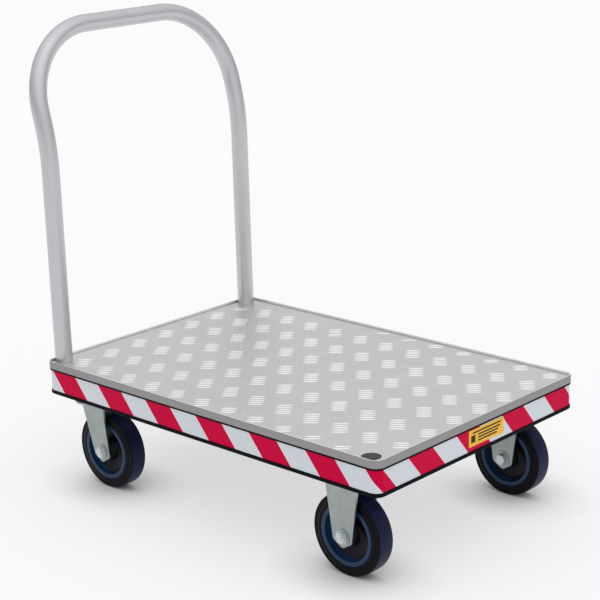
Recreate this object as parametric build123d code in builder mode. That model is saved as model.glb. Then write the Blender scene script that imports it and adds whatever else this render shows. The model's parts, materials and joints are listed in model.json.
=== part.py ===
"""Flatbed platform truck: aluminium deck, bent tube handle, two fixed and two swivel castors.

Millimetres, +Z up.  The origin is on the floor, under the middle of the overall length and width.
+X is the front (the castors there are fixed), -X is the handle end, +Y is the pusher's left.
"""
from build123d import *
import os
from math import cos, radians, sin, tan

# ---- deck -----------------------------------------------------------------------------------
DECK_LENGTH = 900
DECK_WIDTH = 600
DECK_TOP = 260              # top of the raised edge above the floor
CORNER_RADIUS = 20
HALF_LENGTH = DECK_LENGTH / 2
HALF_WIDTH = DECK_WIDTH / 2

RIM_HEIGHT = 15             # visible aluminium edge
RIM_WALL = 3.5
RIM_OUTER_ROUND = 1.2
RIM_INNER_ROUND = 0.8
PLATE_RECESS = 5            # plate surface below the top of the edge
PLATE_THICK = 3
PLATE_GAP = 1.5             # between the plate and the edge
PLATE_TOP = DECK_TOP - PLATE_RECESS
PLATE_BOTTOM = PLATE_TOP - PLATE_THICK
RIM_BOTTOM = DECK_TOP - RIM_HEIGHT
FRAME_BOTTOM = 195          # plane that the castors bolt to

SKIRT_INSET = 6             # outer face of the skirt behind the bumper, in from the deck edge
RAIL_INSET = 9              # outer face of the rails inside the skirt, in from the deck edge
LEDGE_REACH = 28            # inner edge of the plate ledge, in from the deck edge
FLANGE_REACH = 38           # inner edge of the bottom flange, in from the deck edge
SHEET = 3                   # thickness of webs, ledges, flanges and channel walls

CORNER_SIZE = 50            # side of a corner bracket
CORNER_WALL = 2.5
PAD_THICK = 12              # top pad of a corner bracket, which carries a handle post

STIFFENER_X = (-110, 110)
STIFFENER_WIDTH = 40
STIFFENER_HEIGHT = 30
CHANNEL_WIDTH = 30
ASSEMBLY_GAP = 0.3

# ---- bumper, tape and label -------------------------------------------------------------------
BUMPER_BOTTOM = 190
BUMPER_BASE = 3
UPPER_LIP = 4
LOWER_LIP = 8
UPPER_LIP_INSET = 0.5
LOWER_LIP_INSET = 0.6
LIP_ROUND = 2.2
TAPE_THICK = 0.4
TAPE_INSET = SKIRT_INSET - BUMPER_BASE
LABEL_SIZE = (106, 32)
LABEL_THICK = 0.5
LABEL_Y = 14
LABEL_TOP = DECK_TOP - 22

# ---- handle -----------------------------------------------------------------------------------
TUBE_RADIUS = 18
TUBE_WALL = 2
POST_INSET_X = 22
POST_INSET_Y = 32
POST_X = -HALF_LENGTH + POST_INSET_X
POST_Y = HALF_WIDTH - POST_INSET_Y
LEAN_START = DECK_TOP + 387         # the posts are upright up to here
LEAN_ANGLE = 15.2
LEAN_RADIUS = 440
BOW_RADIUS = 164
BOW_STRAIGHT = 10
INSERT_LENGTH = 60
INSERT_GAP = 0.1
FREE_HOLE_INSET_X = 35              # the post holes at the front, left free
FREE_HOLE_INSET_Y = 25
FREE_HOLE_X = HALF_LENGTH - FREE_HOLE_INSET_X
FREE_HOLE_Y = HALF_WIDTH - FREE_HOLE_INSET_Y
PLUG_RADIUS = 18
PLUG_STEM = 5.3
PLUG_ROUND = 0.8

# ---- fasteners --------------------------------------------------------------------------------
M8_RADIUS = 4
M8_HOLE = 4.5
M8_FLATS = 13
M8_HEAD = 5.3
M8_NUT = 6.5
M10_RADIUS = 5
M10_HOLE = 5.5
M10_FLATS = 16
M10_HEAD = 6.4
M12_RADIUS = 6
M12_FLATS = 19
M12_HEAD = 7.5
M12_NUT = 9.6
AXLE_NUT = 6                # thin nut
NUT_FLANGE_RADIUS = 12.5
NUT_FLANGE = 2

# ---- castors ----------------------------------------------------------------------------------
WHEEL_RADIUS = 80
AXLE_Z = WHEEL_RADIUS
TRACK_Y = 242
FIXED_X = 340               # axle of the fixed castors, from the middle of the deck
TRAIL = 50
SWIVEL_X = -370             # kingpin of the swivel castors
TOP_PLATE = (130, 100)
TOP_PLATE_THICK = 4
TOP_PLATE_ROUND = 12
BOLT_PATTERN = (105, 75)

LEG_THICK = 4
LEG_INNER = 26              # inner face of a fork leg, from the wheel's middle plane
FOOT_SHOULDER = (15, 4, 8)        # out from the axle, below it, and radius
FOOT_TIP = (12, 9)                # below the axle, and radius
FIXED_LEG_TOP = 80
BOSS_RADIUS = 17
BOSS_HEIGHT = 1.2
LEG_FILLET = 3
BEND_OUTER = 6
AXLE_HOLE = 6.1

CROWN_TOP = 180
CROWN_THICK = 4
CROWN_RADIUS = 40
SWIVEL_LEG_BACK = -4        # ends of the leg's top edge, from the kingpin
SWIVEL_LEG_FRONT = 59
RACE_RADIUS = 30
RACE_HALF_WIDTH = 5
BALL_RADIUS = 3
BALL_COUNT = 18
BALL_Z = 184
BALL_GAP = 0.1
RACE_LIP = 1.6              # distance of each race from the plane of the ball centres
KINGPIN_GAP = 0.05
KINGPIN_HEAD_RADIUS = 12
KINGPIN_HEAD = 5
KINGPIN_NUT_GAP = 0.3
BOLT_END = 2                # bolt thread that shows past its nut

# ---- wheels -----------------------------------------------------------------------------------
TYRE_HALF_WIDTH = 19
TREAD_HALF_WIDTH = 17
TYRE_CHAMFER = 3
TYRE_INNER = 60
SIDE_GROOVE_RADIUS = 73
SIDE_GROOVE = 1
RIM_HALF_WIDTH = 20
RING_INNER = 51
DISC_HALF_WIDTH = 4
HUB_RADIUS = 22
HUB_HALF_WIDTH = 23
BEARING_RADIUS = 15
BEARING_HALF_WIDTH = 21
SLEEVE_RADIUS = 10
RUNNING_GAP = 0.05
SLEEVE_BORE_GAP = 0.1
SLEEVE_END_GAP = 0.05

# The deck stands off the origin so that the overall length is centred on it.
LEAN_TANGENT = LEAN_RADIUS * tan(radians(LEAN_ANGLE / 2))
BOW_RUN = LEAN_TANGENT + BOW_STRAIGHT + BOW_RADIUS
HANDLE_REACH = BOW_RUN * sin(radians(LEAN_ANGLE))
DECK_X = (HANDLE_REACH + TUBE_RADIUS - POST_INSET_X) / 2

CASTORS = {
    "front_left": (FIXED_X, TRACK_Y),
    "front_right": (FIXED_X, -TRACK_Y),
    "rear_left": (SWIVEL_X, TRACK_Y),
    "rear_right": (SWIVEL_X, -TRACK_Y),
}

os.makedirs("parts", exist_ok=True)


def save(piece, name):
    """Label a finished piece and write it as its own STEP file."""
    piece.part.label = name
    export_step(piece.part, f"parts/{name}.step")


def level(z):
    """Horizontal plane at height z, centred on the deck."""
    return Plane((DECK_X, 0, z))


def deck_outline(inset, mode=Mode.ADD):
    """The deck's rounded outline, moved inwards."""
    RectangleRounded(DECK_LENGTH - 2 * inset, DECK_WIDTH - 2 * inset, CORNER_RADIUS - inset, mode=mode)


def band(outer, inner, bottom, top):
    """A closed band round the deck, between two insets and two heights."""
    with BuildSketch(level(bottom)) as ring:
        deck_outline(outer)
        deck_outline(inner, mode=Mode.SUBTRACT)
    extrude(ring.sketch, amount=top - bottom)


def slab(inset, bottom, top):
    """A solid slab of the deck's outline."""
    with BuildSketch(level(bottom)) as plan:
        deck_outline(inset)
    extrude(plan.sketch, amount=top - bottom)


def keep_window(x_range, y_range):
    """Cut the part under construction down to a window of the deck's plan."""
    middle_x = (x_range[0] + x_range[1]) / 2
    middle_y = (y_range[0] + y_range[1]) / 2
    with BuildSketch(level(0)) as window:
        with Locations((middle_x, middle_y)):
            Rectangle(x_range[1] - x_range[0], y_range[1] - y_range[0])
    extrude(window.sketch, amount=DECK_TOP, mode=Mode.INTERSECT)


def strip(inner, outer, bottom, top):
    """A rectangle of a rail's section: distance from the deck's middle, and height."""
    with Locations(((inner + outer) / 2, (bottom + top) / 2)):
        Rectangle(outer - inner, top - bottom)


def castor_bolt_points():
    """The sixteen castor bolts, from the middle of the deck."""
    dx, dy = BOLT_PATTERN[0] / 2, BOLT_PATTERN[1] / 2
    return [(x + i * dx, y + j * dy) for x, y in CASTORS.values() for i in (-1, 1) for j in (-1, 1)]


def drill_castor_bolts(bottom, top):
    """Clearance holes for the castor bolts."""
    with BuildSketch(level(bottom)) as holes:
        with Locations(*castor_bolt_points()):
            Circle(M8_HOLE)
    extrude(holes.sketch, amount=top - bottom, mode=Mode.SUBTRACT)


def hexagon(flats):
    RegularPolygon(radius=flats / 2, side_count=6, major_radius=False)


# ---- frame ------------------------------------------------------------------------------------
with BuildPart() as edge_rim:
    band(SKIRT_INSET, RAIL_INSET, FRAME_BOTTOM, RIM_BOTTOM)
    band(0, RAIL_INSET, RIM_BOTTOM, PLATE_BOTTOM)
    band(0, RIM_WALL, PLATE_BOTTOM, DECK_TOP)
    rim_top = edge_rim.faces().sort_by(Axis.Z)[-1]
    fillet(rim_top.outer_wire().edges(), RIM_OUTER_ROUND)
    rim_top = edge_rim.faces().filter_by(Plane.XY).sort_by(Axis.Z)[-1]
    fillet(rim_top.inner_wires().edges(), RIM_INNER_ROUND)
save(edge_rim, "edge_rim")


def rail_section(half_span):
    """Channel inside the skirt: plate ledge, web and bottom flange."""
    web_outer = half_span - RAIL_INSET
    web_inner = web_outer - SHEET
    strip(web_inner, web_outer, FRAME_BOTTOM, PLATE_BOTTOM)
    strip(half_span - LEDGE_REACH, web_inner, PLATE_BOTTOM - SHEET, PLATE_BOTTOM)
    strip(half_span - FLANGE_REACH, web_inner, FRAME_BOTTOM, FRAME_BOTTOM + SHEET)


def make_rail(name, outward, half_span, half_length):
    """A straight rail; outward is the direction that its web looks in."""
    along = Vector(*outward).cross(Vector(0, 0, 1))
    with BuildPart() as rail:
        with BuildSketch(Plane((DECK_X, 0, 0), x_dir=outward, z_dir=along)):
            rail_section(half_span)
        extrude(amount=half_length, both=True)
        drill_castor_bolts(FRAME_BOTTOM, FRAME_BOTTOM + SHEET)
    save(rail, name)


side_run = HALF_LENGTH - CORNER_SIZE
end_run = HALF_WIDTH - CORNER_SIZE
make_rail("rail_left", (0, 1, 0), HALF_WIDTH, side_run)
make_rail("rail_right", (0, -1, 0), HALF_WIDTH, side_run)
make_rail("rail_front", (1, 0, 0), HALF_LENGTH, end_run)
make_rail("rail_rear", (-1, 0, 0), HALF_LENGTH, end_run)


def corner_window(sign_x, sign_y):
    x_ends = sorted((sign_x * side_run, sign_x * HALF_LENGTH))
    y_ends = sorted((sign_y * end_run, sign_y * HALF_WIDTH))
    return x_ends, y_ends


def make_corner(name, sign_x, sign_y):
    """Corner bracket: flange and web carried round the corner, with a thick pad on top."""
    pad_bottom = PLATE_BOTTOM - PAD_THICK
    hole_x, hole_y = (FREE_HOLE_X, FREE_HOLE_Y) if sign_x > 0 else (POST_X, POST_Y)
    with BuildPart() as corner:
        slab(RAIL_INSET, FRAME_BOTTOM, FRAME_BOTTOM + SHEET)
        band(RAIL_INSET, RAIL_INSET + CORNER_WALL, FRAME_BOTTOM + SHEET, pad_bottom)
        slab(RAIL_INSET, pad_bottom, PLATE_BOTTOM)
        keep_window(*corner_window(sign_x, sign_y))
        drill_castor_bolts(FRAME_BOTTOM, FRAME_BOTTOM + SHEET)
        with BuildSketch(level(pad_bottom)):
            with Locations((hole_x, sign_y * hole_y)):
                Circle(M10_HOLE)
        extrude(amount=PAD_THICK, mode=Mode.SUBTRACT)
    save(corner, name)


make_corner("corner_front_left", 1, 1)
make_corner("corner_front_right", 1, -1)
make_corner("corner_rear_left", -1, 1)
make_corner("corner_rear_right", -1, -1)


def make_channel(name, x):
    """U channel across the frame that carries the inner castor bolts and the plate."""
    half_length = end_run - ASSEMBLY_GAP
    half = CHANNEL_WIDTH / 2
    with BuildPart() as channel:
        with BuildSketch(Plane((DECK_X + x, 0, 0), x_dir=(1, 0, 0), z_dir=(0, -1, 0))):
            strip(-half, half, FRAME_BOTTOM, FRAME_BOTTOM + SHEET)
            strip(-half, -half + SHEET, FRAME_BOTTOM, PLATE_BOTTOM)
            strip(half - SHEET, half, FRAME_BOTTOM, PLATE_BOTTOM)
        extrude(amount=half_length, both=True)
        drill_castor_bolts(FRAME_BOTTOM, FRAME_BOTTOM + SHEET)
    save(channel, name)


bolt_half = BOLT_PATTERN[0] / 2
make_channel("cross_channel_front_outer", FIXED_X + bolt_half)
make_channel("cross_channel_front_inner", FIXED_X - bolt_half)
make_channel("cross_channel_rear", SWIVEL_X + bolt_half)

for number, x in enumerate(STIFFENER_X, start=1):
    with BuildPart() as stiffener:
        with BuildSketch(Plane((DECK_X + x, 0, PLATE_BOTTOM), x_dir=(1, 0, 0), z_dir=(0, -1, 0))):
            with Locations((0, -STIFFENER_HEIGHT / 2)):
                Rectangle(STIFFENER_WIDTH, STIFFENER_HEIGHT)
                Rectangle(STIFFENER_WIDTH - 2 * SHEET, STIFFENER_HEIGHT - 2 * SHEET, mode=Mode.SUBTRACT)
        extrude(amount=HALF_WIDTH - LEDGE_REACH - ASSEMBLY_GAP, both=True)
    save(stiffener, f"deck_stiffener_{number}")

# ---- deck plate -------------------------------------------------------------------------------
with BuildPart() as deck_plate:
    slab(RIM_WALL + PLATE_GAP, PLATE_BOTTOM, PLATE_TOP)
    with BuildSketch(level(PLATE_BOTTOM)):
        with Locations((POST_X, POST_Y), (POST_X, -POST_Y)):
            Circle(TUBE_RADIUS + ASSEMBLY_GAP)
        with Locations((FREE_HOLE_X, -FREE_HOLE_Y)):
            Circle(PLUG_RADIUS + ASSEMBLY_GAP)
    extrude(amount=PLATE_THICK, mode=Mode.SUBTRACT)
save(deck_plate, "deck_plate")


# ---- bumper -----------------------------------------------------------------------------------
def make_bumper(name, x_range, y_range):
    """Rubber bumper: a base on the skirt, with a lip above and a thicker one below the tape."""
    with BuildPart() as bumper:
        band(TAPE_INSET, SKIRT_INSET, BUMPER_BOTTOM, RIM_BOTTOM)
        band(UPPER_LIP_INSET, TAPE_INSET, RIM_BOTTOM - UPPER_LIP, RIM_BOTTOM)
        band(LOWER_LIP_INSET, TAPE_INSET, BUMPER_BOTTOM, BUMPER_BOTTOM + LOWER_LIP)
        flats = bumper.faces().filter_by(Plane.XY)
        lip_bottom = flats.sort_by(Axis.Z)[0]
        lip_top = flats.filter_by_position(Axis.Z, BUMPER_BOTTOM + 1, BUMPER_BOTTOM + LOWER_LIP + 1)[0]
        fillet(lip_bottom.outer_wire().edges() + lip_top.outer_wire().edges(), LIP_ROUND)
        keep_window(x_range, y_range)
    save(bumper, name)


make_bumper("bumper_left", (-side_run, side_run), (0, HALF_WIDTH))
make_bumper("bumper_right", (-side_run, side_run), (-HALF_WIDTH, 0))
make_bumper("bumper_front", (side_run, HALF_LENGTH), (-HALF_WIDTH, HALF_WIDTH))
make_bumper("bumper_rear", (-HALF_LENGTH, -side_run), (-HALF_WIDTH, HALF_WIDTH))

with BuildPart() as reflective_tape:
    band(TAPE_INSET - TAPE_THICK, TAPE_INSET, BUMPER_BOTTOM + LOWER_LIP, RIM_BOTTOM - UPPER_LIP)
save(reflective_tape, "reflective_tape")

label_x = DECK_X + HALF_LENGTH - TAPE_INSET + TAPE_THICK
with BuildPart() as rating_label:
    with BuildSketch(Plane((label_x, LABEL_Y, LABEL_TOP - LABEL_SIZE[1] / 2), x_dir=(0, 1, 0), z_dir=(1, 0, 0))):
        Rectangle(*LABEL_SIZE)
    extrude(amount=LABEL_THICK)
save(rating_label, "rating_label")

# ---- handle -----------------------------------------------------------------------------------
lean = radians(LEAN_ANGLE)
bend_z = LEAN_START + LEAN_TANGENT
bow_x = DECK_X + POST_X - HANDLE_REACH
bow_z = bend_z + BOW_RUN * cos(lean)
post_x = DECK_X + POST_X
route = [(post_x, -POST_Y, PLATE_BOTTOM), (post_x, -POST_Y, bend_z), (bow_x, -POST_Y, bow_z)]
route += [(x, -y, z) for x, y, z in reversed(route)]

with BuildPart() as handle_tube:
    with BuildLine() as handle_line:
        FilletPolyline(*route, radius=[LEAN_RADIUS, BOW_RADIUS, BOW_RADIUS, LEAN_RADIUS])
    with BuildSketch(Plane(route[0])):
        Circle(TUBE_RADIUS)
        Circle(TUBE_RADIUS - TUBE_WALL, mode=Mode.SUBTRACT)
    sweep(path=handle_line.wires()[0])
save(handle_tube, "handle_tube")

post_points = [(POST_X, POST_Y), (POST_X, -POST_Y)]
insert_radius = TUBE_RADIUS - TUBE_WALL - INSERT_GAP
with BuildPart() as handle_inserts:
    with BuildSketch(level(PLATE_BOTTOM)):
        with Locations(*post_points):
            Circle(insert_radius)
            Circle(M10_RADIUS, mode=Mode.SUBTRACT)
    extrude(amount=INSERT_LENGTH)
save(handle_inserts, "handle_inserts")

with BuildPart() as handle_bolts:
    with BuildSketch(level(PLATE_BOTTOM - PAD_THICK - M10_HEAD)):
        with Locations(*post_points):
            hexagon(M10_FLATS)
    extrude(amount=M10_HEAD)
    with BuildSketch(level(PLATE_BOTTOM - PAD_THICK)):
        with Locations(*post_points):
            Circle(M10_RADIUS)
    extrude(amount=INSERT_LENGTH)
save(handle_bolts, "handle_bolts")

with BuildPart() as corner_plug:
    with BuildSketch(level(PLATE_BOTTOM)):
        with Locations((FREE_HOLE_X, -FREE_HOLE_Y)):
            Circle(PLUG_RADIUS)
    extrude(amount=PLATE_THICK)
    with BuildSketch(level(PLATE_BOTTOM - PAD_THICK)):
        with Locations((FREE_HOLE_X, -FREE_HOLE_Y)):
            Circle(PLUG_STEM)
    extrude(amount=PAD_THICK)
    fillet(corner_plug.edges().filter_by(GeomType.CIRCLE).sort_by(Axis.Z)[-1], PLUG_ROUND)
save(corner_plug, "corner_plug")

# ---- castor fasteners -------------------------------------------------------------------------
plate_underside = FRAME_BOTTOM - TOP_PLATE_THICK
with BuildPart() as castor_bolts:
    with BuildSketch(level(plate_underside - M8_HEAD)):
        with Locations(*castor_bolt_points()):
            hexagon(M8_FLATS)
    extrude(amount=M8_HEAD)
    with BuildSketch(level(plate_underside)):
        with Locations(*castor_bolt_points()):
            Circle(M8_RADIUS)
    extrude(amount=TOP_PLATE_THICK + SHEET + M8_NUT + SHEET)
save(castor_bolts, "castor_bolts")

with BuildPart() as castor_nuts:
    with BuildSketch(level(FRAME_BOTTOM + SHEET)):
        with Locations(*castor_bolt_points()):
            hexagon(M8_FLATS)
            Circle(M8_RADIUS, mode=Mode.SUBTRACT)
    extrude(amount=M8_NUT)
save(castor_nuts, "castor_nuts")


# ---- forks ------------------------------------------------------------------------------------
LEG_OUTER = LEG_INNER + LEG_THICK
WHEELS = {name: (x if x > 0 else x + TRAIL, y) for name, (x, y) in CASTORS.items()}


def axle_plane(x, y):
    """Upright plane across the axle, looking along it; the axle is at (0, AXLE_Z)."""
    return Plane((DECK_X + x, y, 0), x_dir=(1, 0, 0), z_dir=(0, -1, 0))


def on_axle(x, y, radius, half_width, mode=Mode.ADD):
    """A disc about the axle, centred on the wheel's middle plane."""
    with BuildSketch(axle_plane(x, y)) as disc:
        with Locations((0, AXLE_Z)):
            Circle(radius)
    extrude(disc.sketch, amount=half_width, both=True, mode=mode)


def fork_legs(x, y, top_ends, top):
    """Two tapering legs with blunt pointed feet, the wheel's space cut out between them."""
    shoulder_out, shoulder_drop, shoulder_radius = FOOT_SHOULDER
    tip_drop, tip_radius = FOOT_TIP
    with BuildSketch(axle_plane(x, y)) as outline:
        with Locations((-shoulder_out, AXLE_Z - shoulder_drop), (shoulder_out, AXLE_Z - shoulder_drop)):
            Circle(shoulder_radius)
        with Locations((0, AXLE_Z - tip_drop)):
            Circle(tip_radius)
        strip(*top_ends, top - LEG_THICK, top)
        make_hull(outline.edges())
    extrude(outline.sketch, amount=LEG_OUTER, both=True)
    with BuildSketch(Plane((DECK_X + x, y, 0), x_dir=(0, 1, 0), z_dir=(1, 0, 0))) as space:
        strip(-LEG_INNER, LEG_INNER, 0, top - LEG_THICK)
    extrude(space.sketch, amount=DECK_WIDTH, both=True, mode=Mode.SUBTRACT)


def leg_bosses(x, y):
    """Round bosses on the outside of both legs, and the axle hole through them."""
    on_axle(x, y, BOSS_RADIUS, LEG_OUTER + BOSS_HEIGHT)
    on_axle(x, y, BOSS_RADIUS, LEG_INNER, mode=Mode.SUBTRACT)
    on_axle(x, y, AXLE_HOLE, LEG_OUTER + BOSS_HEIGHT, mode=Mode.SUBTRACT)


def top_plate(x, y):
    """Castor top plate with its four bolt holes."""
    with BuildSketch(level(plate_underside)) as plate:
        with Locations((x, y)):
            RectangleRounded(*TOP_PLATE, TOP_PLATE_ROUND)
    extrude(plate.sketch, amount=TOP_PLATE_THICK)
    drill_castor_bolts(plate_underside, FRAME_BOTTOM)


def round_bar(x, y, radius, bottom, top, mode=Mode.ADD):
    """An upright cylinder about a kingpin."""
    with BuildSketch(level(bottom)) as section:
        with Locations((x, y)):
            Circle(radius)
    extrude(section.sketch, amount=top - bottom, mode=mode)


def make_fixed_fork(name, x, y):
    with BuildPart() as fork:
        fork_legs(x, y, (-FIXED_LEG_TOP / 2, FIXED_LEG_TOP / 2), FRAME_BOTTOM)
        top_plate(x, y)
        under_plate = fork.faces().filter_by(Plane.XY)
        under_plate = under_plate.filter_by_position(Axis.Z, plate_underside - 1, plate_underside + 1)
        inner_bends = under_plate.edges().filter_by(Axis.X)
        inner_bends = inner_bends.filter_by_position(Axis.Y, y - LEG_OUTER - 1, y + LEG_OUTER + 1)
        fillet(inner_bends, LEG_FILLET)
        leg_bosses(x, y)
    save(fork, name)


make_fixed_fork("fixed_fork_front_left", FIXED_X, TRACK_Y)
make_fixed_fork("fixed_fork_front_right", FIXED_X, -TRACK_Y)


def race_groove(x, y):
    """Ring groove that the balls run in."""
    with Locations((DECK_X + x, y, BALL_Z)):
        Torus(RACE_RADIUS, BALL_RADIUS + BALL_GAP, mode=Mode.SUBTRACT)


def make_swivel_plate(name, x, y):
    """Top plate of a swivel castor with the upper half of the ball race."""
    with BuildPart() as plate:
        top_plate(x, y)
        round_bar(x, y, RACE_RADIUS + RACE_HALF_WIDTH, BALL_Z + RACE_LIP, plate_underside)
        round_bar(x, y, RACE_RADIUS - RACE_HALF_WIDTH, BALL_Z + RACE_LIP, plate_underside, Mode.SUBTRACT)
        race_groove(x, y)
        round_bar(x, y, M12_RADIUS, plate_underside, FRAME_BOTTOM, Mode.SUBTRACT)
    save(plate, name)


def make_swivel_fork(name, x, y):
    """Crown with the lower half of the race, bent down into two legs that trail the kingpin."""
    axle_x = x + TRAIL
    crown_bottom = CROWN_TOP - CROWN_THICK
    leg_ends = (SWIVEL_LEG_BACK - TRAIL, SWIVEL_LEG_FRONT - TRAIL)
    with BuildPart() as fork:
        fork_legs(axle_x, y, leg_ends, CROWN_TOP)
        crown = fork.faces().filter_by(Plane.XY)
        fillet(crown.sort_by(Axis.Z)[-1].edges().filter_by(Axis.X), BEND_OUTER)
        under_crown = fork.faces().filter_by(Plane.XY).filter_by_position(Axis.Z, crown_bottom - 1, crown_bottom + 1)
        fillet(under_crown.edges().filter_by(Axis.X), LEG_FILLET)
        round_bar(x, y, CROWN_RADIUS, crown_bottom, CROWN_TOP)
        round_bar(x, y, RACE_RADIUS + RACE_HALF_WIDTH, CROWN_TOP, BALL_Z - RACE_LIP)
        round_bar(x, y, RACE_RADIUS - RACE_HALF_WIDTH, CROWN_TOP, BALL_Z - RACE_LIP, Mode.SUBTRACT)
        race_groove(x, y)
        round_bar(x, y, M12_RADIUS + KINGPIN_GAP, crown_bottom, CROWN_TOP, Mode.SUBTRACT)
        leg_bosses(axle_x, y)
    save(fork, name)


kingpin_nut_top = CROWN_TOP - CROWN_THICK - KINGPIN_NUT_GAP
kingpin_nut_bottom = kingpin_nut_top - M12_NUT


def make_kingpin(name, x, y):
    with BuildPart() as kingpin:
        round_bar(x, y, M12_RADIUS, kingpin_nut_bottom, FRAME_BOTTOM)
        round_bar(x, y, KINGPIN_HEAD_RADIUS, FRAME_BOTTOM, FRAME_BOTTOM + KINGPIN_HEAD)
    save(kingpin, name)


def make_balls(name, x, y):
    with BuildPart() as balls:
        with Locations((DECK_X + x, y, BALL_Z)):
            with PolarLocations(RACE_RADIUS, BALL_COUNT):
                Sphere(BALL_RADIUS)
    save(balls, name)


for side in ("rear_left", "rear_right"):
    make_swivel_plate(f"swivel_plate_{side}", *CASTORS[side])
    make_swivel_fork(f"swivel_fork_{side}", *CASTORS[side])
    make_kingpin(f"kingpin_{side}", *CASTORS[side])
    make_balls(f"swivel_balls_{side}", *CASTORS[side])

with BuildPart() as kingpin_nuts:
    with BuildSketch(level(kingpin_nut_bottom)):
        with Locations(CASTORS["rear_left"], CASTORS["rear_right"]):
            hexagon(M12_FLATS)
            Circle(M12_RADIUS, mode=Mode.SUBTRACT)
    extrude(amount=kingpin_nut_top - kingpin_nut_bottom)
save(kingpin_nuts, "kingpin_nuts")


# ---- axles ------------------------------------------------------------------------------------
nut_face = LEG_OUTER + BOSS_HEIGHT


def seat_plane(x, y, distance, outward):
    """Upright plane at a distance from the wheel's middle, facing the truck's outside or inside."""
    direction = outward if y > 0 else -outward
    return Plane((DECK_X + x, y + direction * distance, AXLE_Z), x_dir=(1, 0, 0), z_dir=(0, direction, 0))


def axle_bolt(x, y):
    with BuildSketch(seat_plane(x, y, nut_face, -1)) as head:
        hexagon(M12_FLATS)
    extrude(head.sketch, amount=M12_HEAD)
    with BuildSketch(seat_plane(x, y, nut_face, -1)) as shank:
        Circle(M12_RADIUS)
    extrude(shank.sketch, amount=-(2 * nut_face + AXLE_NUT + BOLT_END))


def axle_nut(x, y):
    """Hexagon nut with a round flange."""
    seat = seat_plane(x, y, nut_face, 1)
    with BuildSketch(seat) as section:
        hexagon(M12_FLATS)
    extrude(section.sketch, amount=AXLE_NUT)
    with BuildSketch(seat) as flange:
        Circle(NUT_FLANGE_RADIUS)
    extrude(flange.sketch, amount=NUT_FLANGE)
    with BuildSketch(seat) as bore:
        Circle(M12_RADIUS)
    extrude(bore.sketch, amount=AXLE_NUT, mode=Mode.SUBTRACT)


def axle_sleeve(x, y):
    half_width = LEG_INNER - SLEEVE_END_GAP
    on_axle(x, y, SLEEVE_RADIUS, half_width)
    on_axle(x, y, M12_RADIUS + SLEEVE_BORE_GAP, half_width, mode=Mode.SUBTRACT)


AXLE_PIECES = {"bolt": axle_bolt, "nut": axle_nut, "sleeve": axle_sleeve}
for piece_name, make_piece in AXLE_PIECES.items():
    with BuildPart() as front_pair:
        for side in ("front_left", "front_right"):
            make_piece(*WHEELS[side])
    save(front_pair, f"front_axle_{piece_name}s")
    for side in ("rear_left", "rear_right"):
        with BuildPart() as rear_piece:
            make_piece(*WHEELS[side])
        save(rear_piece, f"{side}_axle_{piece_name}")


# ---- wheels -----------------------------------------------------------------------------------
def wheel_section(x, y):
    """Plane through the axle: across is along the axle, up is the radius."""
    return Plane((DECK_X + x, y, AXLE_Z), x_dir=(0, 1, 0), z_dir=(1, 0, 0))


def turned(x, y, section):
    revolve(section.sketch, axis=Axis((DECK_X + x, y, AXLE_Z), (0, 1, 0)))


def make_wheel_rim(name, x, y):
    """Wheel centre: hub, disc and the rim that carries the tyre."""
    with BuildPart() as rim:
        with BuildSketch(wheel_section(x, y)) as section:
            strip(-HUB_HALF_WIDTH, HUB_HALF_WIDTH, BEARING_RADIUS, HUB_RADIUS)
            strip(-DISC_HALF_WIDTH, DISC_HALF_WIDTH, HUB_RADIUS, RING_INNER)
            strip(-RIM_HALF_WIDTH, RIM_HALF_WIDTH, RING_INNER, TYRE_INNER)
        turned(x, y, section)
    save(rim, name)


def make_tyre(name, x, y):
    """Solid tyre with a chamfered tread and a fine ring groove in each side."""
    shoulder = WHEEL_RADIUS - TYRE_CHAMFER
    points = [(TYRE_HALF_WIDTH, TYRE_INNER), (TYRE_HALF_WIDTH, SIDE_GROOVE_RADIUS - SIDE_GROOVE)]
    points += [(TYRE_HALF_WIDTH - SIDE_GROOVE, SIDE_GROOVE_RADIUS)]
    points += [(TYRE_HALF_WIDTH, SIDE_GROOVE_RADIUS + SIDE_GROOVE), (TYRE_HALF_WIDTH, shoulder)]
    points += [(TREAD_HALF_WIDTH, WHEEL_RADIUS)]
    points += [(-across, radius) for across, radius in reversed(points)]
    with BuildPart() as tyre:
        with BuildSketch(wheel_section(x, y)) as section:
            with BuildLine():
                Polyline(*points, close=True)
            make_face()
        turned(x, y, section)
    save(tyre, name)


def make_bearing(name, x, y):
    """Roller bearing insert that turns on the axle sleeve."""
    with BuildPart() as bearing:
        with BuildSketch(wheel_section(x, y)) as section:
            strip(-BEARING_HALF_WIDTH, BEARING_HALF_WIDTH, SLEEVE_RADIUS + RUNNING_GAP, BEARING_RADIUS)
        turned(x, y, section)
    save(bearing, name)


for side, (x, y) in WHEELS.items():
    make_wheel_rim(f"wheel_rim_{side}", x, y)
    make_tyre(f"tyre_{side}", x, y)
    make_bearing(f"roller_bearing_{side}", x, y)
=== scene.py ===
"""The looks of the flatbed platform truck, built round its CAD frame. Metres, +Z up, origin on the floor."""
import json
from math import cos, hypot, pi, radians, sin

import bmesh
import bpy
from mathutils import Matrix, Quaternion, Vector


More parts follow.
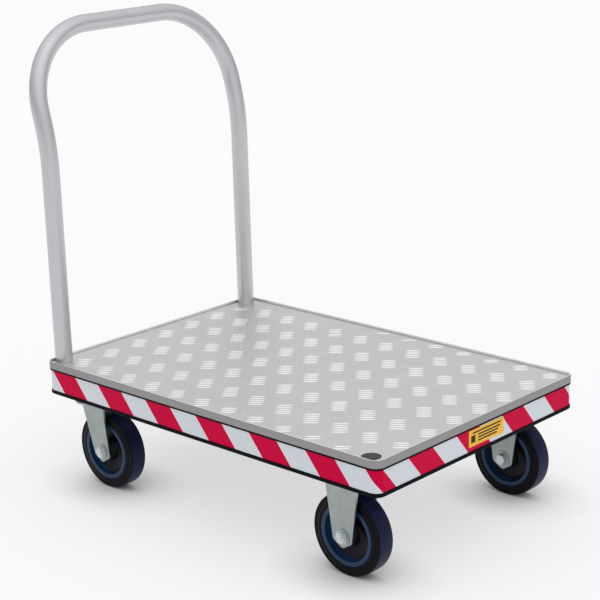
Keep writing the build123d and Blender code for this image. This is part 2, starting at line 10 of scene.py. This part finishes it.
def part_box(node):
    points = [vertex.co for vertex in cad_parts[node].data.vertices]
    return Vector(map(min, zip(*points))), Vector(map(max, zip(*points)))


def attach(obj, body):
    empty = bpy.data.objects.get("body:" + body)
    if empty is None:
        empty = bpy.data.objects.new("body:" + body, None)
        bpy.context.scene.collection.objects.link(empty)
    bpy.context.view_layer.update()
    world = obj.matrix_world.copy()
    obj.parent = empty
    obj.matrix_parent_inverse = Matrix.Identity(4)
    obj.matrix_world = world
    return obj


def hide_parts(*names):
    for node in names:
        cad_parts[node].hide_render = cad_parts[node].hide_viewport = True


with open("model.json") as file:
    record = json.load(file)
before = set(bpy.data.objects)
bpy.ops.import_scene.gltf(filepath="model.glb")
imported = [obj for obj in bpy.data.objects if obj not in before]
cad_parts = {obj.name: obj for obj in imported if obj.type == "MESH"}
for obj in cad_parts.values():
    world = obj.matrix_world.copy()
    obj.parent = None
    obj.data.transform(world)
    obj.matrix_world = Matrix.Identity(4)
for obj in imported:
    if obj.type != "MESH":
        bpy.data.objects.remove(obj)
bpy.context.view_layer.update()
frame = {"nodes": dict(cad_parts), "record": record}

TRUCK = "truck"
WHEELS = ("front_left", "front_right", "rear_left", "rear_right")

# ---- places from the frame ----------------------------------------------------------------------
RIM_LOW, RIM_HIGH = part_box("edge_rim")
DECK_MIDDLE = (RIM_LOW + RIM_HIGH) / 2
DECK_TOP = RIM_HIGH.z
HALF_LENGTH = (RIM_HIGH.x - RIM_LOW.x) / 2
HALF_WIDTH = (RIM_HIGH.y - RIM_LOW.y) / 2
CORNER_RADIUS = 0.020
PLATE_LOW, PLATE_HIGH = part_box("deck_plate")
TAPE_LOW, TAPE_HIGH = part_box("reflective_tape")
LABEL_LOW, LABEL_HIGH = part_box("rating_label")
PLUG_LOW, PLUG_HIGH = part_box("corner_plug")
INSERT_LOW, INSERT_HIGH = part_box("handle_inserts")
STRAIGHT_X = HALF_LENGTH - CORNER_RADIUS    # half of each straight side, without its rounded corners
STRAIGHT_Y = HALF_WIDTH - CORNER_RADIUS

# ---- camera ---------------------------------------------------------------------------------------
CAMERA_AZIMUTH = 43.34
CAMERA_ELEVATION = 16.34
CAMERA_ROLL = 1.685
CAMERA_DISTANCE = 3.807
CAMERA_LENS = 99.6
CAMERA_TARGET = Vector((DECK_MIDDLE.x - 0.3298, 0.3456, DECK_TOP))


def away_from(azimuth, elevation):
    """Unit vector from the object towards a viewer or a light at that azimuth and elevation, in degrees."""
    a, e = radians(azimuth), radians(elevation)
    return Vector((sin(a) * cos(e), -cos(a) * cos(e), sin(e)))


camera = bpy.data.objects.new("camera", bpy.data.cameras.new("camera"))
bpy.context.scene.collection.objects.link(camera)
bpy.context.scene.camera = camera
camera.data.lens = CAMERA_LENS
camera.data.sensor_width = 36.0
camera.data.clip_end = 60.0
camera_back = away_from(CAMERA_AZIMUTH, CAMERA_ELEVATION)
camera.location = CAMERA_TARGET + camera_back * CAMERA_DISTANCE
camera.rotation_mode = "QUATERNION"
roll = Quaternion((0.0, 0.0, 1.0), -radians(CAMERA_ROLL))
camera.rotation_quaternion = (-camera_back).to_track_quat("-Z", "Y") @ roll


# ---- materials ------------------------------------------------------------------------------------
def new_material(name, metallic=0.0, roughness=0.5, specular=0.5):
    """An empty Principled material: (material, its tree, its shader)."""
    material = bpy.data.materials.new(name)
    material.use_nodes = True
    tree = material.node_tree
    shader = tree.nodes["Principled BSDF"]
    shader.inputs["Metallic"].default_value = metallic
    shader.inputs["Roughness"].default_value = roughness
    shader.inputs["Specular IOR Level"].default_value = specular
    return material, tree, shader


def placed(tree, stretch):
    """Coordinates on the object itself, in metres, stretched along its axes."""
    coordinates = tree.nodes.new("ShaderNodeTexCoord")
    mapping = tree.nodes.new("ShaderNodeMapping")
    mapping.inputs["Scale"].default_value = stretch
    tree.links.new(coordinates.outputs["Object"], mapping.inputs["Vector"])
    return mapping.outputs["Vector"]


def noise(tree, size, detail=3.0, stretch=(1.0, 1.0, 1.0)):
    """Noise of about that feature size in metres."""
    node = tree.nodes.new("ShaderNodeTexNoise")
    node.inputs["Scale"].default_value = 1.0 / size
    node.inputs["Detail"].default_value = detail
    tree.links.new(placed(tree, stretch), node.inputs["Vector"])
    return node.outputs["Fac"]


def cells(tree, size):
    """Distance to the walls of small cells, as in reflective film."""
    node = tree.nodes.new("ShaderNodeTexVoronoi")
    node.feature = "DISTANCE_TO_EDGE"
    node.inputs["Scale"].default_value = 1.0 / size
    node.inputs["Randomness"].default_value = 0.25
    tree.links.new(placed(tree, (1.0, 1.0, 1.0)), node.inputs["Vector"])
    return node.outputs["Distance"]


def spread(tree, factor, low, high, low_at=0.3, high_at=0.7):
    """The factor turned into a colour between low and high."""
    ramp = tree.nodes.new("ShaderNodeValToRGB")
    ramp.color_ramp.elements[0].position = low_at
    ramp.color_ramp.elements[1].position = high_at
    ramp.color_ramp.elements[0].color = (*low, 1.0)
    ramp.color_ramp.elements[1].color = (*high, 1.0)
    tree.links.new(factor, ramp.inputs["Fac"])
    return ramp.outputs["Color"]


def spread_value(tree, factor, low, high):
    """The factor turned into a number between low and high."""
    node = tree.nodes.new("ShaderNodeMapRange")
    node.inputs["From Min"].default_value = 0.3
    node.inputs["From Max"].default_value = 0.7
    node.inputs["To Min"].default_value = low
    node.inputs["To Max"].default_value = high
    tree.links.new(factor, node.inputs["Value"])
    return node.outputs["Result"]


def add_bump(tree, shader, height, depth, strength=1.0):
    """Surface relief of that depth in metres."""
    node = tree.nodes.new("ShaderNodeBump")
    node.inputs["Distance"].default_value = depth
    node.inputs["Strength"].default_value = strength
    tree.links.new(height, node.inputs["Height"])
    tree.links.new(node.outputs["Normal"], shader.inputs["Normal"])


def shade(colour, factor):
    """The colour made lighter or darker."""
    return tuple(channel * factor for channel in colour)


def metal(name, colour, roughness, grain=0.0012, stretch=(1.0, 1.0, 1.0), depth=0.00002, mottle=0.06, size=0.05):
    """Bare or plated metal: broad mottling, fine grain in the gloss and the surface."""
    material, tree, shader = new_material(name, metallic=1.0)
    broad = noise(tree, size, 4.0)
    fine = noise(tree, grain, 2.0, stretch)
    tint = spread(tree, broad, shade(colour, 1.0 - mottle), colour)
    tree.links.new(tint, shader.inputs["Base Color"])
    gloss = spread_value(tree, fine, roughness - 0.05, roughness + 0.05)
    tree.links.new(gloss, shader.inputs["Roughness"])
    add_bump(tree, shader, fine, depth)
    return material


def rubber(name, colour, roughness=0.55, grain=0.0008, depth=0.00006, dust=1.7, specular=0.12):
    """Moulded rubber with a faint bloom and a fine matt skin."""
    material, tree, shader = new_material(name, specular=specular)
    bloom = noise(tree, 0.03, 5.0)
    skin = noise(tree, grain, 2.0)
    tree.links.new(spread(tree, bloom, colour, shade(colour, dust)), shader.inputs["Base Color"])
    tree.links.new(spread_value(tree, skin, roughness - 0.06, roughness + 0.06), shader.inputs["Roughness"])
    add_bump(tree, shader, skin, depth)
    return material


def plastic(name, colour, roughness=0.35, grain=0.0006, depth=0.00003, mottle=0.12, specular=0.5):
    """Moulded plastic with a slight orange-peel skin."""
    material, tree, shader = new_material(name, specular=specular)
    broad = noise(tree, 0.02, 4.0)
    skin = noise(tree, grain, 2.0)
    tree.links.new(spread(tree, broad, shade(colour, 1.0 - mottle), colour), shader.inputs["Base Color"])
    tree.links.new(spread_value(tree, skin, roughness - 0.04, roughness + 0.04), shader.inputs["Roughness"])
    add_bump(tree, shader, skin, depth)
    return material


def film(name, colour, wall_colour, roughness=0.3, specular=0.12):
    """Reflective film: small cells with slightly darker walls under a clear skin."""
    material, tree, shader = new_material(name, specular=specular)
    walls = cells(tree, 0.0035)
    tree.links.new(spread(tree, walls, wall_colour, colour, 0.02, 0.10), shader.inputs["Base Color"])
    scuffs = noise(tree, 0.004, 4.0)
    tree.links.new(spread_value(tree, scuffs, roughness - 0.05, roughness + 0.08), shader.inputs["Roughness"])
    add_bump(tree, shader, walls, 0.00003, 0.6)
    return material


OUTER_SHADE_FROM, OUTER_SHADE_FULL = 0.02, 0.20       # outward part of the place, in metres, where the painted shade of the outer faces sets in


def rim_metal_shaded_outside(name, outer_shade_colour, inner_colour, roughness):
    """Extruded edge: brushed along its length; painted shade makes the outer faces darker than the top and the
    inside.
    """
    material = metal(name, outer_shade_colour, roughness, 0.0010, (0.15, 0.15, 1.0))
    tree = material.node_tree
    shader = tree.nodes["Principled BSDF"]
    # painted shade: the darker outer colour goes on faces that look outward, the lighter inner colour on the top
    # and inside
    brushed = shader.inputs["Base Color"].links[0].from_socket
    geometry = tree.nodes.new("ShaderNodeNewGeometry")
    from_middle = tree.nodes.new("ShaderNodeVectorMath")
    from_middle.operation = "SUBTRACT"
    from_middle.inputs[1].default_value = DECK_MIDDLE
    flat = tree.nodes.new("ShaderNodeVectorMath")
    flat.operation = "MULTIPLY"
    flat.inputs[1].default_value = (1.0, 1.0, 0.0)
    facing = tree.nodes.new("ShaderNodeVectorMath")
    facing.operation = "DOT_PRODUCT"
    outward = tree.nodes.new("ShaderNodeMapRange")
    outward.inputs["From Min"].default_value = OUTER_SHADE_FROM
    outward.inputs["From Max"].default_value = OUTER_SHADE_FULL
    blend = tree.nodes.new("ShaderNodeMix")
    blend.data_type = "RGBA"
    blend.inputs["A"].default_value = (*inner_colour, 1.0)
    tree.links.new(geometry.outputs["Position"], from_middle.inputs[0])
    tree.links.new(from_middle.outputs["Vector"], flat.inputs[0])
    tree.links.new(flat.outputs["Vector"], facing.inputs[0])
    tree.links.new(geometry.outputs["Normal"], facing.inputs[1])
    tree.links.new(facing.outputs["Value"], outward.inputs["Value"])
    tree.links.new(outward.outputs["Result"], blend.inputs["Factor"])
    tree.links.new(brushed, blend.inputs["B"])
    tree.links.new(blend.outputs["Result"], shader.inputs["Base Color"])
    return material


MATERIALS = {
    # painted shade: the edge's outer faces get the darker colour, its top and inside the lighter one
    "edge_aluminium": rim_metal_shaded_outside("edge_aluminium", (0.32, 0.31, 0.315), (0.88, 0.88, 0.87), 0.42),
    "frame_aluminium": metal("frame_aluminium", (0.30, 0.30, 0.31), 0.42, 0.0010, (1.0, 0.2, 1.0), mottle=0.15),
    "tread_plate": metal("tread_plate", (0.71, 0.71, 0.70), 0.42, 0.0009, (1.0, 0.25, 1.0), mottle=0.05, size=0.12),
    "handle_aluminium": metal("handle_aluminium", (0.58, 0.565, 0.59), 0.34, 0.0007, mottle=0.05),
    "insert_aluminium": metal("insert_aluminium", (0.50, 0.50, 0.51), 0.35),
    "fastener_steel": metal("fastener_steel", (0.66, 0.70, 0.72), 0.24, 0.0006, mottle=0.2, size=0.004),
    "castor_steel": metal("castor_steel", (0.36, 0.40, 0.39), 0.36, 0.0012, mottle=0.14, size=0.018),
    "bearing_steel": metal("bearing_steel", (0.40, 0.41, 0.42), 0.30, 0.0006, mottle=0.1, size=0.01),
    "bumper_rubber": rubber("bumper_rubber", (0.0022, 0.0025, 0.0045), 0.5, specular=0.05),
    "tyre_rubber": rubber("tyre_rubber", (0.0014, 0.0016, 0.0028), 0.34, specular=0.09),
    "black_plastic": plastic("black_plastic", (0.012, 0.012, 0.015), 0.32, specular=0.25),
    "wheel_rim_blue": plastic("wheel_rim_blue", (0.006, 0.030, 0.090), 0.22, specular=0.30),
    "reflective_tape": film("tape_red", (0.60, 0.001, 0.048), (0.52, 0.001, 0.040), specular=0.04),
    "rating_label": film("label_yellow", (0.86, 0.50, 0.045), (0.80, 0.46, 0.04), 0.4),
}
TAPE_WHITE = film("tape_white", (0.66, 0.69, 0.745), (0.58, 0.61, 0.66))
# painted glint: the bars of one direction get a lighter colour than the plate's own
TREAD_GLINT_BARS = metal("tread_bars_painted_glint", (0.91, 0.91, 0.90), 0.32, 0.0009, mottle=0.04, size=0.12)
LABEL_INK = plastic("label_ink", (0.030, 0.018, 0.010), 0.45, specular=0.2)
# painted sheen: the tread of the black tyre is coloured navy and lighter than its sides
TREAD_RUBBER_PAINTED_SHEEN = rubber("tyre_tread_painted_sheen", (0.004, 0.006, 0.030), 0.40, specular=0.12)
# painted shade: the dish and hub of the blue wheel centre are coloured near black, as the recess looks in shade
DISH_PAINTED_SHADE = plastic("wheel_dish_painted_shade", (0.0010, 0.0014, 0.0040), 0.4, specular=0.2)

for entry in frame["record"]["subparts"]:
    mesh = frame["nodes"][entry["node"]].data
    mesh.materials.clear()
    mesh.materials.append(MATERIALS[entry["material_slot"]])


# ---- mesh helpers ---------------------------------------------------------------------------------
def make_piece(name, builder, body, materials, smooth=True):
    """A new mesh piece from a bmesh, riding on a body."""
    mesh = bpy.data.meshes.new(name)
    bmesh.ops.recalc_face_normals(builder, faces=builder.faces)
    builder.to_mesh(mesh)
    builder.free()
    for material in materials:
        mesh.materials.append(material)
    for polygon in mesh.polygons:
        polygon.use_smooth = smooth
    piece = bpy.data.objects.new(name, mesh)
    bpy.context.scene.collection.objects.link(piece)
    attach(piece, body)
    return piece


def lathe(builder, centre, profile, steps=128):
    """Closed profile of (across, radius, material index) turned about the axle, which lies along Y."""
    rings = []
    for across, radius, _ in profile:
        ring = []
        for step in range(steps):
            angle = 2 * pi * step / steps
            ring.append(builder.verts.new(centre + Vector((radius * cos(angle), across, radius * sin(angle)))))
        rings.append(ring)
    for number, ring in enumerate(rings):
        following = rings[(number + 1) % len(rings)]
        for step in range(steps):
            other = (step + 1) % steps
            face = builder.faces.new((ring[step], ring[other], following[other], following[step]))
            face.material_index = profile[number][2]


def arc_points(centre_across, centre_radius, size, start, end, index, steps=5):
    """Rounded corner of a profile, angles in degrees from the axle direction."""
    points = []
    for step in range(steps + 1):
        angle = radians(start + (end - start) * step / steps)
        points.append((centre_across + size * cos(angle), centre_radius + size * sin(angle), index))
    return points


# ---- tread bars -----------------------------------------------------------------------------------
COLUMN_STEP = Vector((0.0743, -0.0034))         # from one group of bars to the next along the deck
ROW_STEP = Vector((-0.0037, 0.0813))            # and across it
LATTICE_CENTRE = Vector((-0.0251, -0.0271))     # a group near the deck's middle
LATTICE_REACH = 9
BAR_LENGTH, BAR_WIDTH = 0.0310, 0.0060
# Shift in steps, angle and height: the bars painted bright as a glint, then the lower and plainer ones between
# them.
BAR_KINDS = ((0.0, radians(38.0), 0.0012), (0.5, radians(-46.0), 0.0006))
BAR_PITCH = 0.0110
BARS = 5
POST_CLEARANCE = 0.040
EDGE_CLEARANCE = 0.012
ALONG_STEPS, ACROSS_STEPS = 10, 6
BAR_SINK = 0.00005          # a bar starts this far below the plate's surface
BAR_CROWN_ALONG, BAR_CROWN_ACROSS = 0.8, 1.4
BAR_TAPER = 0.9


def add_bar(builder, x, y, angle, bar_height, glint_or_plain):
    """One almond-shaped bar, its underside just below the plate's surface."""
    along = Vector((cos(angle), sin(angle), 0.0))
    across = Vector((-sin(angle), cos(angle), 0.0))
    rows = []
    for i in range(ALONG_STEPS + 1):
        u = -cos(pi * i / ALONG_STEPS)
        fullness = max(1.0 - u * u, 0.0) ** 0.5
        row = []
        for j in range(ACROSS_STEPS + 1):
            v = -cos(pi * j / ACROSS_STEPS)
            height = bar_height * fullness ** BAR_CROWN_ALONG * max(1.0 - v * v, 0.0) ** BAR_CROWN_ACROSS
            point = Vector((x, y, PLATE_HIGH.z - BAR_SINK + height))
            point += along * (u * BAR_LENGTH / 2) + across * (v * fullness ** BAR_TAPER * BAR_WIDTH / 2)
            row.append(builder.verts.new(point))
        rows.append(row)
    for i in range(ALONG_STEPS):
        for j in range(ACROSS_STEPS):
            face = builder.faces.new((rows[i][j], rows[i + 1][j], rows[i + 1][j + 1], rows[i][j + 1]))
            face.material_index = glint_or_plain


def clear_of_fittings(x, y):
    """True where a bar may stand: on the plate, away from the posts and the plug."""
    if min(x - PLATE_LOW.x, PLATE_HIGH.x - x, y - PLATE_LOW.y, PLATE_HIGH.y - y) < EDGE_CLEARANCE:
        return False
    plug = (PLUG_LOW + PLUG_HIGH) / 2
    post_x = (INSERT_LOW.x + INSERT_HIGH.x) / 2
    post_y = INSERT_HIGH.y - (INSERT_HIGH.x - INSERT_LOW.x) / 2
    fittings = [(plug.x, plug.y), (post_x, post_y), (post_x, -post_y)]
    return all(hypot(x - fx, y - fy) > POST_CLEARANCE for fx, fy in fittings)


def build_tread():
    builder = bmesh.new()
    steps = range(-LATTICE_REACH, LATTICE_REACH + 1)
    for column in steps:
        for row in steps:
            for glint_or_plain, (shift, angle, bar_height) in enumerate(BAR_KINDS):
                middle = DECK_MIDDLE.xy + LATTICE_CENTRE
                middle += COLUMN_STEP * (column + shift) + ROW_STEP * (row + shift)
                for bar in range(BARS):
                    offset = (bar - (BARS - 1) / 2) * BAR_PITCH
                    x = middle.x - sin(angle) * offset
                    y = middle.y + cos(angle) * offset
                    if clear_of_fittings(x, y):
                        add_bar(builder, x, y, angle, bar_height, glint_or_plain)
    # the first kind of bar takes the painted glint colour, the second the plate's own colour
    make_piece("tread_bars", builder, TRUCK, [TREAD_GLINT_BARS, MATERIALS["tread_plate"]])


build_tread()

# ---- reflective tape ------------------------------------------------------------------------------
STRIPE_LONG = 0.0709        # width of a stripe along the long sides
STRIPE_SHORT = 0.0687       # and along the short sides
STRIPE_SLANT = 0.82         # how far a stripe moves along for each unit down
LONG_START = -0.4134        # where the tape starts on a long side, from the deck's middle
SHORT_START = -0.2647        # and on a short side
TAPE_RADIUS = CORNER_RADIUS - (RIM_HIGH.x - TAPE_HIGH.x)
TAPE_BEND = TAPE_RADIUS * pi / 2
TAPE_PROUD = 0.00015        # outside the band it covers
STRIPE_STEPS = (48, 24)     # along and down
LAST_SLIVER = 1e-6


def round_the_deck(distance):
    """Point and outward direction at a distance round the tape, starting at the middle of the right side."""
    lap = 2 * (2 * STRAIGHT_X + 2 * STRAIGHT_Y + 2 * TAPE_BEND)
    distance = (distance + STRAIGHT_X) % lap
    corner = Vector((-STRAIGHT_X, -STRAIGHT_Y))
    heading = 0.0
    for length in (2 * STRAIGHT_X, 2 * STRAIGHT_Y, 2 * STRAIGHT_X, 2 * STRAIGHT_Y):
        forward = Vector((cos(heading), sin(heading)))
        outward = Vector((sin(heading), -cos(heading)))
        if distance <= length:
            return corner + forward * distance + outward * TAPE_RADIUS, outward
        corner += forward * length
        distance -= length
        if distance <= TAPE_BEND:
            turn = heading + distance / TAPE_RADIUS
            outward = Vector((sin(turn), -cos(turn)))
            return corner + outward * TAPE_RADIUS, outward
        distance -= TAPE_BEND
        heading += pi / 2
    return round_the_deck(distance)


def add_stripe(builder, start, end, colour):
    """A slanting stripe of tape, wrapped round the deck."""
    top, drop = TAPE_HIGH.z, TAPE_HIGH.z - TAPE_LOW.z
    grid = []
    for i in range(STRIPE_STEPS[0] + 1):
        column = []
        for j in range(STRIPE_STEPS[1] + 1):
            down = drop * j / STRIPE_STEPS[1]
            middle_slant = STRIPE_SLANT * (down - drop / 2)
            distance = start + (end - start) * i / STRIPE_STEPS[0] + middle_slant
            point, outward = round_the_deck(distance)
            point = point + outward * TAPE_PROUD
            column.append(builder.verts.new((point.x + DECK_MIDDLE.x, point.y, top - down)))
        grid.append(column)
    for i in range(STRIPE_STEPS[0]):
        for j in range(STRIPE_STEPS[1]):
            face = builder.faces.new((grid[i][j], grid[i][j + 1], grid[i + 1][j + 1], grid[i + 1][j]))
            face.material_index = colour


def build_tape():
    builder = bmesh.new()
    half_lap = 2 * (STRAIGHT_X + STRAIGHT_Y + TAPE_BEND)
    short_from = STRAIGHT_X + TAPE_BEND + STRAIGHT_Y + SHORT_START
    runs = []
    for turn in (0, 1):
        runs.append((LONG_START + turn * half_lap, short_from + turn * half_lap, STRIPE_LONG, 0))
        runs.append((short_from + turn * half_lap, LONG_START + (turn + 1) * half_lap, STRIPE_SHORT, 1))
    for start, end, width, colour in runs:
        while start < end - LAST_SLIVER:
            add_stripe(builder, start, min(start + width, end), colour)
            start += width
            colour = 1 - colour
    make_piece("tape_stripes", builder, TRUCK, [MATERIALS["reflective_tape"], TAPE_WHITE])


build_tape()

# ---- label ----------------------------------------------------------------------------------------
# Left, right and middle of each bar, as fractions of the label, and the mark's left, right, low and high.
LABEL_BARS = ((0.10, 0.92, 0.80), (0.26, 0.90, 0.60), (0.26, 0.84, 0.42), (0.26, 0.80, 0.24))
LABEL_BAR_HEIGHT = 0.0030
LABEL_MARK = (0.06, 0.18, 0.22, 0.66)
INK_PROUD = 0.0002


def add_label_patch(builder, left, right, low, high):
    """A flat patch of ink; places are fractions of the label from its left and lower edges."""
    span = LABEL_HIGH - LABEL_LOW
    x = LABEL_HIGH.x + INK_PROUD
    corners = ((left, low), (right, low), (right, high), (left, high))
    points = [(x, LABEL_LOW.y + span.y * across, LABEL_LOW.z + span.z * up) for across, up in corners]
    builder.faces.new([builder.verts.new(point) for point in points])


def build_label():
    builder = bmesh.new()
    half = LABEL_BAR_HEIGHT / (LABEL_HIGH.z - LABEL_LOW.z) / 2
    for left, right, middle in LABEL_BARS:
        add_label_patch(builder, left, right, middle - half, middle + half)
    add_label_patch(builder, *LABEL_MARK)
    make_piece("label_bars", builder, TRUCK, [LABEL_INK], smooth=False)


build_label()


# ---- wheels ---------------------------------------------------------------------------------------
def mirrored(points):
    """A half section made whole."""
    return points + [(-across, radius, index) for across, radius, index in reversed(points)]


TYRE_SIDE, TYRE_TREAD = 0, 1
SHOULDER = 0.0028
SIDE_RINGS = (0.0745, 0.0715)       # radii of the fine grooves in the side
RING_DEPTH = 0.0005
RING_HALF = 0.0006
SEAT_ACROSS, SEAT_UP = 0.0008, 0.0010       # chamfer beside the wheel centre
TREAD_EDGE_DROP, TREAD_CROWN_DROP = 0.0006, 0.0001
CROWN_AT = 0.45             # of the half width


def tyre_profile(half_width, outer, inner):
    """Half of the tyre's section, from the bore to the middle of the tread."""
    points = [(half_width - SEAT_ACROSS, inner, TYRE_SIDE), (half_width, inner + SEAT_UP, TYRE_SIDE)]
    for ring in reversed(SIDE_RINGS):
        points.append((half_width, ring - RING_HALF, TYRE_SIDE))
        points.append((half_width - RING_DEPTH, ring - RING_HALF / 2, TYRE_SIDE))
        points.append((half_width - RING_DEPTH, ring + RING_HALF / 2, TYRE_SIDE))
        points.append((half_width, ring + RING_HALF, TYRE_SIDE))
    tread_edge = outer - TREAD_EDGE_DROP
    points += arc_points(half_width - SHOULDER, tread_edge - SHOULDER, SHOULDER, 0, 90, TYRE_SIDE)
    points[-1] = (*points[-1][:2], TYRE_TREAD)
    points.append((half_width * CROWN_AT, outer - TREAD_CROWN_DROP, TYRE_TREAD))
    return mirrored(points)


def build_tyre(wheel):
    node = f"tyre_{wheel}"
    low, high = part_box(node)
    centre = (low + high) / 2
    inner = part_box(f"wheel_rim_{wheel}")[1].z - centre.z
    builder = bmesh.new()
    lathe(builder, centre, tyre_profile((high.y - low.y) / 2, high.z - centre.z, inner))
    rubbers = [MATERIALS["tyre_rubber"], TREAD_RUBBER_PAINTED_SHEEN]
    piece = make_piece(f"tyre_body_{wheel}", builder, f"wheel_{wheel}", rubbers)
    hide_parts(node)


RIM_FACE, RIM_DISH = 0, 1
RIM_HALF_WIDTH = 0.020
RING_INNER = 0.0515
RING_ROUND = 0.0016
DISH_DEPTH = 0.0150
HUB_RADIUS = 0.022
HUB_BORE = 0.015
CHAMFER = 0.001             # on the hub's edge and at the dish's foot
DISH_FOOT, DISH_RUN, DISH_RISE = 0.003, 0.007, 0.002
RING_BACK = 0.004
RIM_EDGE = 0.0006


def rim_profile(half_width, outer, hub_half_width):
    """Half of the wheel centre's section, from the hub's bore out to the tyre."""
    dish = half_width - DISH_DEPTH
    points = [(hub_half_width, HUB_BORE, RIM_DISH), (hub_half_width, HUB_RADIUS - CHAMFER, RIM_DISH)]
    points.append((hub_half_width - CHAMFER, HUB_RADIUS, RIM_DISH))
    points += [(dish + CHAMFER, HUB_RADIUS, RIM_DISH), (dish - CHAMFER, HUB_RADIUS + DISH_FOOT, RIM_DISH)]
    points.append((dish - CHAMFER, RING_INNER - DISH_RUN, RIM_DISH))
    points.append((dish + DISH_RISE, RING_INNER - DISH_FOOT, RIM_DISH))
    points.append((half_width - RING_BACK, RING_INNER, RIM_FACE))
    points += reversed(arc_points(half_width - RING_ROUND, RING_INNER + RING_ROUND, RING_ROUND, 0, -90, RIM_FACE))
    points += arc_points(half_width - RIM_EDGE, outer - RIM_EDGE, RIM_EDGE, 0, 90, RIM_FACE, 3)
    return mirrored(points)


def build_rim(wheel):
    node = f"wheel_rim_{wheel}"
    low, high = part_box(node)
    centre = (low + high) / 2
    builder = bmesh.new()
    lathe(builder, centre, rim_profile(RIM_HALF_WIDTH, high.z - centre.z, (high.y - low.y) / 2))
    plastics = [MATERIALS["wheel_rim_blue"], DISH_PAINTED_SHADE]
    piece = make_piece(f"wheel_centre_{wheel}", builder, f"wheel_{wheel}", plastics)
    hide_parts(node)


for wheel in WHEELS:
    build_tyre(wheel)
    build_rim(wheel)

# ---- edges of the pressed and turned pieces ---------------------------------------------------------
EDGE_ROUNDS = {
    "castor_steel": 0.0006,
    "fastener_steel": 0.0004,
    "frame_aluminium": 0.0004,
    "black_plastic": 0.0004,
    "bearing_steel": 0.0003,
}
for entry in frame["record"]["subparts"]:
    width = EDGE_ROUNDS.get(entry["material_slot"])
    if width:
        bevel = frame["nodes"][entry["node"]].modifiers.new("edge_round", "BEVEL")
        bevel.width = width
        bevel.segments = 2
        bevel.limit_method = "ANGLE"
        bevel.angle_limit = radians(40)
        bevel.harden_normals = True

# ---- floor and light ------------------------------------------------------------------------------
FLOOR_SIZE = 40.0
FLOOR_GLOW = 0.560          # the floor is a lit sweep, so that shadows on it stay pale
CONTACT_SHADOW_REACH = 0.12        # close round the wheels it glows less: a painted contact shadow
CONTACT_SHADOW_DEPTH = 1.6
floor_builder = bmesh.new()
bmesh.ops.create_grid(floor_builder, x_segments=1, y_segments=1, size=FLOOR_SIZE / 2)
floor_mesh = bpy.data.meshes.new("floor")
floor_builder.to_mesh(floor_mesh)
floor_builder.free()
floor = bpy.data.objects.new("floor", floor_mesh)
bpy.context.scene.collection.objects.link(floor)
floor_material, floor_tree, floor_shader = new_material("floor", roughness=0.9, specular=0.0)
floor_tint = spread(floor_tree, noise(floor_tree, 0.8), (0.412, 0.412, 0.412), (0.416, 0.416, 0.416))
floor_tree.links.new(floor_tint, floor_shader.inputs["Base Color"])
floor_shader.inputs["Emission Color"].default_value = (1.0, 1.0, 1.0, 1.0)
# painted contact shadow: ambient occlusion cuts the floor's glow close to the truck
contact_shadow = floor_tree.nodes.new("ShaderNodeAmbientOcclusion")
contact_shadow.inputs["Distance"].default_value = CONTACT_SHADOW_REACH
deepen = floor_tree.nodes.new("ShaderNodeMath")
deepen.operation = "POWER"
deepen.inputs[1].default_value = CONTACT_SHADOW_DEPTH
strength = floor_tree.nodes.new("ShaderNodeMath")
strength.operation = "MULTIPLY"
strength.inputs[1].default_value = FLOOR_GLOW
floor_tree.links.new(contact_shadow.outputs["AO"], deepen.inputs[0])
floor_tree.links.new(deepen.outputs["Value"], strength.inputs[0])
floor_tree.links.new(strength.outputs["Value"], floor_shader.inputs["Emission Strength"])
floor_mesh.materials.append(floor_material)

SKY = ((0.0, 0.60), (0.30, 0.66), (0.60, 0.90), (1.0, 1.10))     # sine of the elevation, brightness


def build_sky():
    """A studio dome, even all round and brighter overhead."""
    world = bpy.data.worlds.new("studio")
    world.use_nodes = True
    bpy.context.scene.world = world
    tree = world.node_tree
    direction = tree.nodes.new("ShaderNodeTexCoord")
    axes = tree.nodes.new("ShaderNodeSeparateXYZ")
    ramp = tree.nodes.new("ShaderNodeValToRGB")
    tree.links.new(direction.outputs["Generated"], axes.inputs["Vector"])
    tree.links.new(axes.outputs["Z"], ramp.inputs["Fac"])
    stops = ramp.color_ramp.elements
    while len(stops) < len(SKY):
        stops.new(0.5)
    for stop, (place, brightness) in zip(stops, SKY):
        stop.position = place
        stop.color = (brightness * 0.985, brightness * 0.99, brightness, 1.0)
    tree.links.new(ramp.outputs["Color"], tree.nodes["Background"].inputs["Color"])


build_sky()


def add_sun(name, azimuth, elevation, strength, spread_angle):
    """A sun as wide as a softbox."""
    light = bpy.data.lights.new(name, "SUN")
    light.energy = strength
    light.angle = radians(spread_angle)
    lamp = bpy.data.objects.new(name, light)
    bpy.context.scene.collection.objects.link(lamp)
    lamp.rotation_mode = "QUATERNION"
    lamp.rotation_quaternion = (-away_from(azimuth, elevation)).to_track_quat("-Z", "Y")


add_sun("front_softbox", azimuth=75, elevation=40, strength=0.35, spread_angle=90)

bpy.context.scene.view_settings.view_transform = "Standard"
